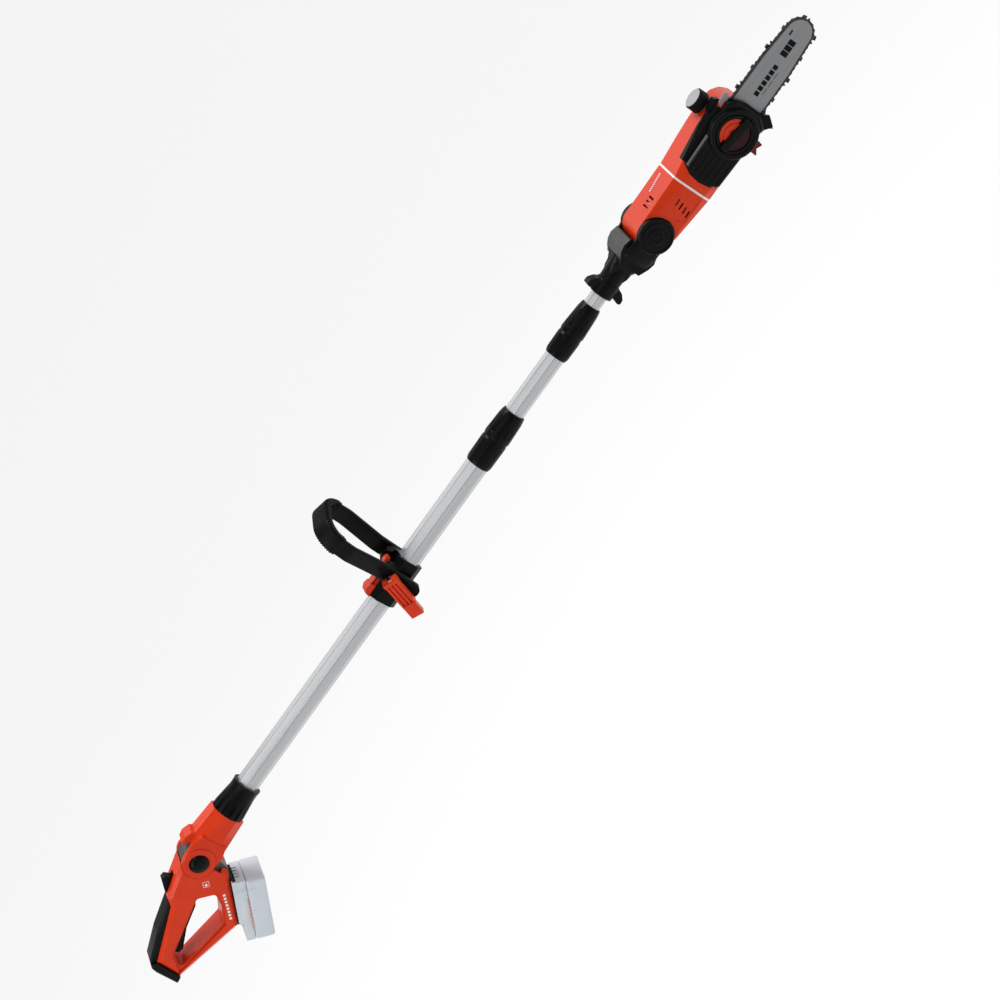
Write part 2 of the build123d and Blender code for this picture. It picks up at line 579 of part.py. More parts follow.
def head_outside():
    """The head housing's outer form, with its tilt drum and the room for the yoke and the cover."""
    outer = head_solid(0.0)
    for side in (-1, 1):
        y_low, y_high = sorted((side * NECK_HALF, side * 60))
        outer -= block((700, 728), (y_low, y_high), (-80, 80)) + rod_y(TILT_X, 0, 31.6, y_low, y_high)
    outer += rod_y(TILT_X, 0, TILT_R, -NECK_HALF, NECK_HALF)
    return outer - cover_zone(0.3, -18.0)


def head_shells():
    """Both halves of the red head housing as one hollow body."""
    outer = head_outside()
    outer -= head_solid(HEAD_WALL) - block((600, 734), (-60, 60), (-80, 80)) - cover_zone(3.0, -15.0)
    ring = head_solid(0.0) - head_solid(1.3)
    outer -= ring & block(BAND_SPAN, (-60, 60), (-80, 80))
    return outer - rod_y(TILT_X, 0, 8.06, -60, 60)


def vents():
    """Cooling slots: four in each side and three across the top, as cutters."""
    cutters = []
    for i in range(4):
        z = 4.0 - 9.0 * i
        x = 784.0 - 2.5 * i
        cutters.append(block((x - 10, x + 2), (-60, 60), (z - 1.6, z + 1.6)))
    for x in (744.0, 752.0, 760.0):
        cutters.append(block((x - 1.6, x + 1.6), (-20, 0.0), (20, 50)))
    return cutters


def make_head():
    body = head_shells() - vents()
    for side in (-1, 1):
        body -= plate(VENT_PANEL, *sorted((side * 41.2, side * 44)))
    body -= rod_z(925, 6, 13.0, 30, 60)
    outer = head_outside()
    for x, z in HEAD_SCREWS:
        body += rod_y(x, z, 5.0, -60, 60) & outer
    body += rod_y(SPROCKET_X, BAR_Z, 9.0, 6.0, 60) & outer
    body -= rod_y(SPROCKET_X, BAR_Z, 4.56, -20, 14.5) + rod_y(KNOB_X, BAR_Z, 4.0, -20, -14)
    for x, z in HEAD_SCREWS:
        body -= rod_y(x, z, 1.6, -12, 14)
        body -= rod_y(x, z, 3.5, 14, 60)
    save("head_shell_right", half(body, -1))
    save("head_shell_left", half(body, 1))
    save("head_screws", [screw_y(x, z, 16.3, -11.0, 3.4, 1.6, 2.3) for x, z in HEAD_SCREWS])
    ring = (head_solid(0.0) - head_solid(1.3)) & block(BAND_SPAN, (-60, 60), (-80, 80))
    save("head_band", ring)
    trim = [(838, 60), (938, 60), (938, 26), (838, 22)]
    strip = (head_solid(-1.6) - head_solid(0.0)) & plate(trim, -60, -19)
    strip -= cover_zone(0.4, -10.0)
    save("top_strip", max(strip.solids(), key=lambda s: s.volume))
    make_oil()
    make_front()


def make_oil():
    tank = block((884, 952), (-13, 30), (12, 38)) & head_solid(HEAD_WALL + 0.6)
    tank -= block((887, 949), (-10, 27), (15, 35)) & head_solid(HEAD_WALL + 3.6)
    tank += rod_z(925, 6, 12.0, 34, 52)
    tank -= rod_z(925, 6, 9.5, 30, 60)
    save("oil_tank", tank)
    profile = [(0, 53), (12.4, 53), (12.4, 48.3), (18, 48.3), (18.5, 50), (18.2, 64), (16.4, 66), (0, 66)]
    cap = turned_z(profile, 925, 6)
    for i in range(14):
        angle = math.radians(360.0 * i / 14)
        cap -= rod_z(925 + 19.2 * math.cos(angle), 6 + 19.2 * math.sin(angle), 1.5, 49, 63)
    save("oil_cap", cap)


def make_front():
    spikes = [(912, -44.6), (930, -46), (950, -58), (958, -70), (958, -58), (966, -56), (964, -46),
              (975, -40), (968, -30.2), (967.3, -30), (950.2, -44.6)]
    save("bumper_spikes", plate(spikes, -17.5, -13.5))
    hook = plate([(897, -45), (907, -66), (906, -87), (916, -79), (926, -84), (930, -64), (932, -45)],
                 6, 12, 1.5)
    save("branch_hook", hook)


# ---------------------------------------------------------------- motor and drive

def make_drive():
    axis_y = GEAR_FACE_Y + PINION_PITCH_R + 1.2
    shift = Pos(0, axis_y, BAR_Z)
    can = rod_x(752, 812, 23.5) - rod_x(754.5, 809.5, 21.5) - rod_x(740, 830, 5.2)
    save("motor_can", shift * can)
    start = SPROCKET_X - GEAR_PITCH_R - 3.0
    rotor = rod_x(757, 800, 20.0) + rod_x(748, start, 3.2) + rod_x(800, 806.5, 9.0)
    rotor += rod_x(start, start + 6.0, PINION_PITCH_R - 1.2)
    for i in range(PINION_TEETH):
        tooth = block((start, start + 6.0), (-TOOTH_WIDTH / 2, TOOTH_WIDTH / 2), (4.0, PINION_PITCH_R + 0.9))
        rotor += Rot(360.0 * i / PINION_TEETH, 0, 0) * tooth
    save("motor_rotor", shift * rotor)
    gear = rod_y(SPROCKET_X, BAR_Z, GEAR_PITCH_R + 3.4, GEAR_FACE_Y - 4.0, GEAR_FACE_Y - 0.9)
    for i in range(GEAR_TEETH):
        tooth = block((GEAR_PITCH_R - 3, GEAR_PITCH_R + 3), (GEAR_FACE_Y - 1.2, GEAR_FACE_Y + 0.9),
                      (-TOOTH_WIDTH / 2, TOOTH_WIDTH / 2))
        gear += Pos(SPROCKET_X, 0, BAR_Z) * Rot(0, 360.0 * (i + 0.5) / GEAR_TEETH, 0) * tooth
    save("face_gear", gear - rod_y(SPROCKET_X, BAR_Z, 4.5, -60, 60))


def drive_sprocket():
    """Six-tooth spur on the shaft that carries the face gear."""
    hub = rod_y(SPROCKET_X, BAR_Z, 7.5, BAR_Y - 5, BAR_Y + 3.6) + rod_y(SPROCKET_X, BAR_Z, 4.5, -32.0, 14.0)
    for i in range(6):
        tooth = plate([(0, -3.4), (8.6, -2.2), (9.6, 0), (8.6, 2.2), (0, 3.4)], BAR_Y - 0.9, BAR_Y + 0.9)
        hub += Pos(SPROCKET_X, 0, BAR_Z) * Rot(0, 60.0 * i, 0) * tooth
    return hub


# ---------------------------------------------------------------- bar and chain

def blade_face(grow, tail, shoulder_x, heel_x=None):
    """Outline of the bar or of the chain round it: straight runs and a round nose, and a round heel
    where heel_x is given. tail is the (x, half height) where the upper run starts."""
    tail_x, tail_half = tail
    run = [(tail_x, tail_half), (shoulder_x, 27.0 + grow), (1040.0, 27.0 + grow)]
    run.append((NOSE_X + 1.5, NOSE_R + grow))
    upper = [(x, 0, z) for x, z in run]
    lower = [(x, 0, -z) for x, z in run]
    lines = [Polyline(*upper), ThreePointArc(upper[-1], (NOSE_X + NOSE_R + grow, 0, 0), lower[-1])]
    lines.append(Polyline(*reversed(lower)))
    if heel_x is None:
        lines.append(Line(lower[0], upper[0]))
    else:
        lines.append(ThreePointArc(lower[0], (heel_x, 0, 0), upper[0]))
    return make_face(lines)


def at_bar(face, y_low, y_high):
    """A flat face set in the bar's plane between two distances either side of it."""
    moved = Pos(0, BAR_Y + y_low, BAR_Z) * face
    return extrude(moved, amount=y_high - y_low, dir=(0, 1, 0))


def guide_bar():
    side = BAR_THICK / 2
    slot = GROOVE / 2
    outer = blade_face(0.0, (893.0, 12.0), 928.0)
    inner = blade_face(-GROOVE_DEPTH, (899.0, 8.0), 930.0)
    bar = at_bar(outer, -side, -slot) + at_bar(outer, slot, side) + at_bar(inner, -slot, slot)
    bar -= block((898, 938), (-60, 0), (BAR_Z - 4.2, BAR_Z + 4.2))
    bar -= rod_y(NOSE_X, BAR_Z, 15.2, BAR_Y - slot, BAR_Y + slot)
    return bar + rod_y(NOSE_X, BAR_Z, 2.94, BAR_Y - side, BAR_Y + side)


def chain_face(grow):
    """Outline of the chain's run round the sprocket and the bar, grown outwards."""
    radius = SPROCKET_PATH_R + grow
    return blade_face(grow, (SPROCKET_X - 1.0, radius), 928.0, SPROCKET_X - radius)


def cutter_stations():
    """Places and headings round the chain's run, two pitches apart."""
    wire = chain_face(CHAIN_HEIGHT).faces()[0].outer_wire()
    count = int(wire.length / (2 * CHAIN_PITCH))
    return [(wire.position_at(i / count), wire.tangent_at(i / count)) for i in range(count)]


def make_saw():
    save("guide_bar", guide_bar())
    plates = at_bar(chain_face(CHAIN_HEIGHT), -2.3, 2.3) - at_bar(chain_face(0.35), -3, 3)
    drive = at_bar(chain_face(0.6), -0.6, 0.6) - at_bar(chain_face(-TANG_DEPTH), -1, 1)
    chain = plates + drive
    middle = Vector((SPROCKET_X + NOSE_X) / 2, 0, 0)
    for index, (place, heading) in enumerate(cutter_stations()):
        outwards = Vector(-heading.Z, 0, heading.X)
        if outwards.dot(place - middle) < 0:
            heading = heading * -1
        turn = math.degrees(math.atan2(-heading.Z, heading.X))
        tooth = plate([(-6, -1.0), (5.5, -1.0), (6.2, 3.6), (-6.5, 2.6)], -1.0, 1.0)
        side = 1 if index % 2 else -1
        chain += Pos(place.X, BAR_Y + side * 1.3, place.Z + BAR_Z) * Rot(0, turn, 0) * tooth
    save("saw_chain", chain)
    save("drive_sprocket", drive_sprocket())
    wheel = rod_y(NOSE_X, BAR_Z, 12.0, BAR_Y - 0.6, BAR_Y + 0.6)
    for i in range(9):
        tooth = plate([(10, -3.0), (14.8, 0), (10, 3.0)], BAR_Y - 0.6, BAR_Y + 0.6)
        wheel += Pos(NOSE_X, 0, BAR_Z) * Rot(0, 40.0 * i, 0) * tooth
    save("nose_sprocket", wheel - rod_y(NOSE_X, BAR_Z, 3.0, -60, 60))
    make_cover()


def make_cover():
    outline = grown(COVER_OUTLINE, 0.0, -44.0, -18.2)
    body = outline + rod_y(KNOB_X, BAR_Z, 42.0, -44.0, -18.2)
    rim = [e for e in body.edges() if abs(e.center().Y + 44.0) < 0.01]
    body = chamfer(rim, 3.0)
    front = COVER_OUTLINE[:2] + [(990, 34.5), (990, -43.5)] + COVER_OUTLINE[4:]
    room = grown(front, -3.0, -40.5, -10.0) + rod_y(KNOB_X, BAR_Z, 39.0, -40.5, -10.0)
    body -= room
    for i in range(6):
        z = 22.0 - 11.0 * i
        body += block((832, 874), (-45.0, -43.0), (z - 0.9, z + 0.9))
    body += rod_y(KNOB_X, BAR_Z, 9.0, -41.0, BAR_Y - BAR_THICK / 2 - 0.2)
    body -= rod_y(KNOB_X, BAR_Z, 4.2, -60, 0)
    save("sprocket_cover", body)
    save("bar_stud", rod_y(KNOB_X, BAR_Z, 4.0, -47.5, -12.0) + rod_y(KNOB_X, BAR_Z, 7.0, -15.0, -12.0))
    ring = rod_y(KNOB_X, BAR_Z, KNOB_R, -50.5, -44.6) - rod_y(KNOB_X, BAR_Z, 32.0, -60, -40)
    ring = chamfer([e for e in ring.edges() if abs(e.center().Y + 50.5) < 0.01], 1.6)
    save("tension_ring", ring)
    grip = block((-31, 31), (-56.5, -47.2), (-6.5, 6.5)) & rod_y(0, 0, 31.0, -60, -40)
    grip = fillet([e for e in grip.edges() if abs(e.center().Y + 56.5) < 0.01], 3.0)
    hub = rod_y(0, 0, 31.6, -47.2, -44.6) + rod_y(0, 0, 9.0, -53.5, -47.2)
    rim = rod_y(0, 0, 31.6, -50.0, -47.2) - rod_y(0, 0, 27.0, -60, -40)
    knob = grip + hub + rim - rod_y(0, 0, 4.06, -48.0, -40)
    save("clamp_knob", Pos(KNOB_X, 0, BAR_Z) * Rot(0, 8, 0) * knob)


def main():
    os.makedirs("parts", exist_ok=True)
    make_pole()
    make_neck()
    make_handle()
    make_battery()
    make_loop()
    make_yoke()
    make_head()
    make_drive()
    make_saw()


main()
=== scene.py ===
import json
import math

import bmesh
import bpy
from mathutils import Matrix, Vector


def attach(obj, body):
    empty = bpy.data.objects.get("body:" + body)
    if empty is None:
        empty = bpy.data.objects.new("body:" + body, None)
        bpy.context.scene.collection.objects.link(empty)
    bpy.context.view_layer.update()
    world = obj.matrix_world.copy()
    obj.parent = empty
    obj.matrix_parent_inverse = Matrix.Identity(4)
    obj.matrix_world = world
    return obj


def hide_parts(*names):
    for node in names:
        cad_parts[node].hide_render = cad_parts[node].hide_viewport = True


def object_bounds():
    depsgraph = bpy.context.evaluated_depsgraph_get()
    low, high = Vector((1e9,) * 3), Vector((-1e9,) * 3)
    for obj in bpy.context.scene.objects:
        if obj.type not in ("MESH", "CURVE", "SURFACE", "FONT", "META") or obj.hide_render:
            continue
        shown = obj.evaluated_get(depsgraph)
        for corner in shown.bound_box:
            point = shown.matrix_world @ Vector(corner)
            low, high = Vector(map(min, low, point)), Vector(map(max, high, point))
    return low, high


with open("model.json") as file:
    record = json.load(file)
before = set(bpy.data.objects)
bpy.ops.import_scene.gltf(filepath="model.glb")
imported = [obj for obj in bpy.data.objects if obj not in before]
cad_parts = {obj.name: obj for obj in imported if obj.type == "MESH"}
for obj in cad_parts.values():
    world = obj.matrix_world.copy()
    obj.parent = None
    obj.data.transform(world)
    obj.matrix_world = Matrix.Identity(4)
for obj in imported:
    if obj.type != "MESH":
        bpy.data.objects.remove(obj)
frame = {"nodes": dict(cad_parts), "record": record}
CAD_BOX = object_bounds()

# Telescoping pole saw. Metres. +X runs along the pole towards the saw, +Z is up, -Y is the cover's side.
MM = 0.001
NODES = frame["nodes"]
BODY_OF = {node: body for body, nodes in frame["record"]["behaviour"]["bodies"].items() for node in nodes}
SLOT_OF = {part["node"]: part["material_slot"] for part in frame["record"]["subparts"]}

# Camera: where it looks and from how far in metres, how it is turned in degrees, and its lens in mm.
LOOK_AT = Vector((0.2174, -0.0300, -0.0565))
VIEW_AZIMUTH = 12.976
VIEW_ELEVATION = 27.39
VIEW_DISTANCE = 4.3684
VIEW_ROLL = -60.14
LENS = 96.48

# Room, in metres: the floor's drop below the saw and half its width, the sky and the sun, and the soft boxes
# as name, place, target, size and power.
FLOOR_DROP = 2.2
FLOOR_HALF = 120.0
SKY_STRENGTH = 0.33
SUN_FROM = (0.35, 0.25, 1.0)
SUN_STRENGTH = 2.2
SUN_SOFTNESS = 30.0
SOFT_BOXES = [
    ("side_box", (-2.6, -1.6, 1.6), (0.1, 0, 0), (0.7, 2.6), 35),
    ("back_box", (0.4, 3.0, 1.9), (0.1, 0, 0), (4.4, 1.8), 26),
    ("top_box", (-0.7, -1.6, 3.2), (0.1, 0, 0), (3.6, 1.0), 15),
]

# From here on lengths are in mm and angles in degrees. Outlines in the side view are (x, z).

# Rounding of the CAD pieces' edges: in how many steps, from what angle an edge counts as sharp, and how far
# on each shown piece.
EDGE_STEPS = 2
SHARP_FROM = 28.0
ROUNDED = {
    "lower_tube": 0.3, "mid_tube": 0.3, "upper_tube": 0.3,
    "lock1_base": 0.4, "lock1_nut": 0.5, "lock2_base": 0.4, "lock2_nut": 0.5,
    "neck_shell_left": 0.8, "neck_shell_right": 0.8, "neck_collar": 0.5, "handle_tilt_button": 0.4,
    "handle_shell_left": 0.9, "handle_shell_right": 0.9, "handle_knuckle": 0.6, "grip_pad": 1.0,
    "battery_rail": 0.5, "trigger": 0.8, "lock_off_button": 0.8, "battery_top": 1.2, "battery_case": 1.2,
    "battery_catch": 0.6, "clamp_lower": 0.8, "clamp_upper": 0.8, "loop_frame": 0.6, "loop_grip": 0.6,
    "loop_latch": 1.0, "cam_lever": 0.7, "yoke_left": 1.0, "yoke_right": 1.0, "release_sleeve": 0.7,
    "tilt_button": 0.3, "head_shell_left": 0.9, "head_shell_right": 0.9, "head_band": 0.2, "top_strip": 0.5,
    "bumper_spikes": 0.3, "branch_hook": 0.5, "sprocket_cover": 0.8, "oil_cap": 0.5, "guide_bar": 0.15,
    "tension_ring": 0.5, "clamp_knob": 0.7, "loop_bolt": 0.3,
}

# Bar and chain: the bar's middle plane and centre line, the sprocket, the bar's nose and straight part, the
# rivets, the links' outlines, and how far from the middle plane each kind of link lies.
BAR_Y = -22.0
BAR_Z = -4.5
SPROCKET_X = 866.0
SPROCKET_PATH_R = 14.0
NOSE_X = 1100.0
NOSE_R = 22.3
BAR_HALF_HEIGHT = 27.0
BAR_STRAIGHT = (928.0, 1040.0)
RIVET_LINE = 2.4
RIVET_PITCH = 9.525
RIVET_R = 1.15
RIVET_HALF = 2.25
STRAP = [(-6.6, -0.9), (-5.6, -2.0), (-3.6, -2.0), (-2.0, -1.3), (2.0, -1.3), (3.6, -2.0), (5.6, -2.0),
         (6.6, -0.9), (6.6, 0.9), (5.6, 2.0), (3.6, 2.0), (2.0, 1.3), (-2.0, 1.3), (-3.6, 2.0), (-5.6, 2.0),
         (-6.6, 0.9)]
CUTTER = [(-7.4, -0.6), (-6.2, -2.0), (6.2, -2.0), (7.4, -0.4), (7.0, 3.4), (5.6, 4.4), (4.2, 3.2),
          (3.0, 1.2), (0.6, 1.0), (-0.2, 4.6), (-0.6, 5.2), (-6.6, 4.5), (-7.6, 2.0)]
CUTTER_TOP = [(-7.0, 4.0), (-0.4, 4.7), (-0.2, 5.5), (-7.0, 4.8)]
DRIVE_LINK = [(-6.0, 1.9), (-6.2, 0.0), (-4.4, -1.8), (-2.0, -5.4), (1.2, -5.4), (3.0, -3.4), (4.6, -1.8),
              (6.2, 0.0), (6.0, 1.9)]
STRAP_SIDES = (0.75, 1.9)
CUTTER_TOP_SIDES = (0.2, 3.4)
DRIVE_HALF = 0.6

# Front grip: its bolt, turn and lean, its route as (y, z) from the bolt with the radius of each bend, and the
# ribs round its top.
BOLT = Vector((26.0, 0.0, 28.0))
LOOP_YAW = 15.0
LOOP_LEAN = 5.0
LOOP_ROUTE = [(-35.5, -60), (-35.5, 22), (-49, 90), (-45, 145),
              (45, 145), (49, 90), (35.5, 22), (35.5, -60)]
LOOP_BENDS = [26.0, 30.0, 34.0, 34.0, 30.0, 26.0]
RIB_FROM = 116.0
RIB_SPACING = 4.4
RIB_SIZE = (36.0, 15.2)
RIB_CORNER = 5.0
RIB_HALF = 0.9

# Clamp knob: its place, the turn of its grip bar, and its crescents as radius and outer face; the upper
# crescent is red, the lower one's near-black red is painted shade.
KNOB_X = 917.0
KNOB_TURN = -8.0
CRESCENT_FROM = 20.0
CRESCENT_SWEEP = 140.0
CRESCENTS = [(25.5, -47.9), (18.5, -49.6)]
CRESCENT_BACK = -47.1

# Small pieces on the head and its neck: outlines, and for a plate the two faces it lies between, in y.
HOOD = [(655, 24.0), (665, 30.0), (676, 32.5), (688.5, 29.3)]
HOOD_HALF = 33.6
HOOD_OUT = 0.5
HOOD_IN = 0.8
CAP_CENTRE = (925, 6, 66.2)
CAP_LOW_R = 16.2
CAP_TOP_R = 15.6
CAP_DEPTH = 1.2
BAR_PLATE = [(937.5, 33.5), (943.5, 43.3), (960, 45), (964, 39), (958, 33.5)]
BAR_PLATE_FACES = (-31.0, -29.0)
BAR_GUARD = [(938, 25), (962, 21), (967, 2), (966, -30), (972, -42), (960, -59), (948, -49), (936, -46)]
BAR_GUARD_FACES = (-34.0, -28.6)
GUARD_RIBS = 5
GUARD_RIB_X = 941.0
GUARD_RIB_SPACING = 5.2
GUARD_RIB_WIDTH = 2.2
GUARD_RIB_TOP = 22
GUARD_RIB_BOTTOM = -46
GUARD_RIB_FACES = (-36.0, -33.0)
CAP_SHELF = [(916, 44), (934, 51.5), (944, 51.5), (948, 44), (940, 36), (918, 36)]
CAP_SHELF_FACES = (-27.0, -15.0)
# The strip along the cover's top edge is a painted highlight: a pale grey band standing in for light caught
# on the chamfer.
COVER_HIGHLIGHT = [(836.5, -44.15, 27.8), (836.5, -41.0, 31.15), (892.0, -41.0, 32.85), (892.0, -44.15, 29.5)]
COVER_HIGHLIGHT_DEPTH = Vector((0, 1.0, -1.0))

# Plain printed marks, in place of lettering: how far they stand out, their rounding, the faces they lie on,
# and the rows of bars as name, body, material, slot, first point, last point, count, bar size and y.
MARK_RAISE = 0.09
MARK_CORNER = 0.4
BAR_FACE = BAR_Y - 2.0
HANDLE_FACE = -27.05
BATTERY_FACE = -37.1
MARK_ROWS = [
    ("bar_mark_long", "guide_bar", "mark_black", "black_plastic",
     (983, -5.5), (1042, -5.5), 6, (7.6, 8.6), BAR_FACE),
    ("bar_mark_line", "guide_bar", "mark_black", "black_plastic",
     (990, -15), (1034, -15), 3, (12.0, 0.9), BAR_FACE),
    ("bar_mark_box", "guide_bar", "mark_black", "black_plastic",
     (1057, -4), (1087, -4), 3, (8.8, 13.0), BAR_FACE),
    ("bar_mark_dash", "guide_bar", "mark_black", "black_plastic",
     (1089, 8), (1100, 8), 1, (9.0, 3.0), BAR_FACE),
    ("handle_mark_row", "handle", "mark_white", "band_silver",
     (-617, -72), (-655, -113.5), 8, (4.2, 4.4), HANDLE_FACE),
    ("battery_mark", "battery", "mark_orange", "battery_plastic",
     (-603, -110), (-648, -154), 9, (5.0, 2.4), BATTERY_FACE),
    ("battery_line", "battery", "mark_blue", "battery_plastic",
     (-604, -82), (-577, -112), 1, (36.0, 0.7), BATTERY_FACE),
]
HEAD_MARKS = 9
HEAD_MARK_START = (767.0, 7.0)
HEAD_MARK_END = (797.0, 13.5)
HEAD_MARK_TURN = 12.0
HEAD_MARK = [(-1.2, -0.6), (1.2, -0.6), (1.2, 0.1), (-1.2, 0.1)]
HEAD_MARK_HALF = 1.8
HEAD_TOP = 31.6
BOX_MARK_AT = (-615.2, -34.2)
BOX_MARK_DOT_AT = (-616.0, -35.0)
BOX_MARK_TURN = 45.0
BOX_MARK_SIDE = [(-5.4, 4.8), (5.4, 4.8), (5.4, 5.5), (-5.4, 5.5)]
BOX_MARK_DOT = (4.6, 4.0)
BOX_MARK_DOT_CORNER = 0.5


# ---------------------------------------------------------------- materials

def node_of(material, kind, **values):
    """Add a shader node and set its properties and unlinked inputs by name."""
    node = material.node_tree.nodes.new(kind)
    for name, value in values.items():
        if name in node.inputs:
            node.inputs[name].default_value = value
        else:
            setattr(node, name, value)
    return node


def link(material, source, output, target, socket):
    """Join one node's output to another node's input, by name."""
    material.node_tree.links.new(source.outputs[output], target.inputs[socket])


def base_material(name, roughness, metallic=0.0, coat=0.0, coat_roughness=0.1, specular=0.5):
    """A principled material with its constant values set on the shader's own sockets."""
    material = bpy.data.materials.new(name)
    material.use_nodes = True
    shader = material.node_tree.nodes["Principled BSDF"]
    shader.inputs["Roughness"].default_value = roughness
    shader.inputs["Metallic"].default_value = metallic
    shader.inputs["Coat Weight"].default_value = coat
    shader.inputs["Coat Roughness"].default_value = coat_roughness
    shader.inputs["Specular IOR Level"].default_value = specular
    return material, shader


def add_colour(material, shader, low, high, scale, stretch=(1, 1, 1)):
    """Colour that drifts between two close tones over the surface."""
    coords = node_of(material, "ShaderNodeTexCoord")
    mapping = node_of(material, "ShaderNodeMapping", Scale=stretch)
    noise = node_of(material, "ShaderNodeTexNoise", Scale=scale, Detail=4.0, Roughness=0.6)
    ramp = node_of(material, "ShaderNodeValToRGB")
    ramp.color_ramp.elements[0].position = 0.32
    ramp.color_ramp.elements[1].position = 0.68
    ramp.color_ramp.elements[0].color = (*low, 1)
    ramp.color_ramp.elements[1].color = (*high, 1)
    link(material, coords, "Object", mapping, "Vector")
    link(material, mapping, "Vector", noise, "Vector")
    link(material, noise, "Fac", ramp, "Fac")
    link(material, ramp, "Color", shader, "Base Color")
    return coords, noise


def add_roughness(material, shader, source, low, high):
    """Roughness that follows a noise between two values."""
    spread = node_of(material, "ShaderNodeMapRange")
    spread.inputs["From Min"].default_value = 0.3
    spread.inputs["From Max"].default_value = 0.7
    spread.inputs["To Min"].default_value = low
    spread.inputs["To Max"].default_value = high
    link(material, source, "Fac", spread, "Value")
    link(material, spread, "Result", shader, "Roughness")


def add_bump(material, shader, coords, scale, depth, strength, stretch=(1, 1, 1)):
    """Fine surface relief from a noise; scale is in waves per metre and depth in metres."""
    mapping = node_of(material, "ShaderNodeMapping", Scale=stretch)
    noise = node_of(material, "ShaderNodeTexNoise", Scale=scale, Detail=3.0, Roughness=0.55)
    bump = node_of(material, "ShaderNodeBump", Strength=strength, Distance=depth)
    link(material, coords, "Object", mapping, "Vector")
    link(material, mapping, "Vector", noise, "Vector")
    link(material, noise, "Fac", bump, "Height")
    link(material, bump, "Normal", shader, "Normal")


def moulded(name, low, high, roughness, coat=0.0, grain=1500.0, depth=0.00008, strength=0.25, specular=0.5):
    """Moulded plastic: a faint drift of tone, uneven gloss and a fine grain."""
    material, shader = base_material(name, roughness, coat=coat, specular=specular)
    coords, noise = add_colour(material, shader, low, high, 14.0)
    add_roughness(material, shader, noise, roughness * 0.85, roughness * 1.2)
    add_bump(material, shader, coords, grain, depth, strength)
    return material


def dotted(name, low, high, roughness, dots_per_metre):
    """Plastic with a close pattern of small raised dots."""
    material, shader = base_material(name, roughness, specular=0.35)
    coords, _ = add_colour(material, shader, low, high, 10.0)
    cells = node_of(material, "ShaderNodeTexVoronoi", Scale=dots_per_metre)
    bump = node_of(material, "ShaderNodeBump", Strength=0.6, Distance=0.0004)
    bump.invert = True
    link(material, coords, "Object", cells, "Vector")
    link(material, cells, "Distance", bump, "Height")
    link(material, bump, "Normal", shader, "Normal")
    return material


def drawn_metal(name, low, high, roughness, stretch, scale=260.0, depth=0.00003, strength=0.3, metallic=1.0):
    """Metal with fine lines drawn along one direction."""
    material, shader = base_material(name, roughness, metallic=metallic)
    coords, noise = add_colour(material, shader, low, high, scale, stretch)
    add_roughness(material, shader, noise, roughness * 0.8, roughness * 1.3)
    add_bump(material, shader, coords, scale * 2, depth, strength, stretch)
    return material


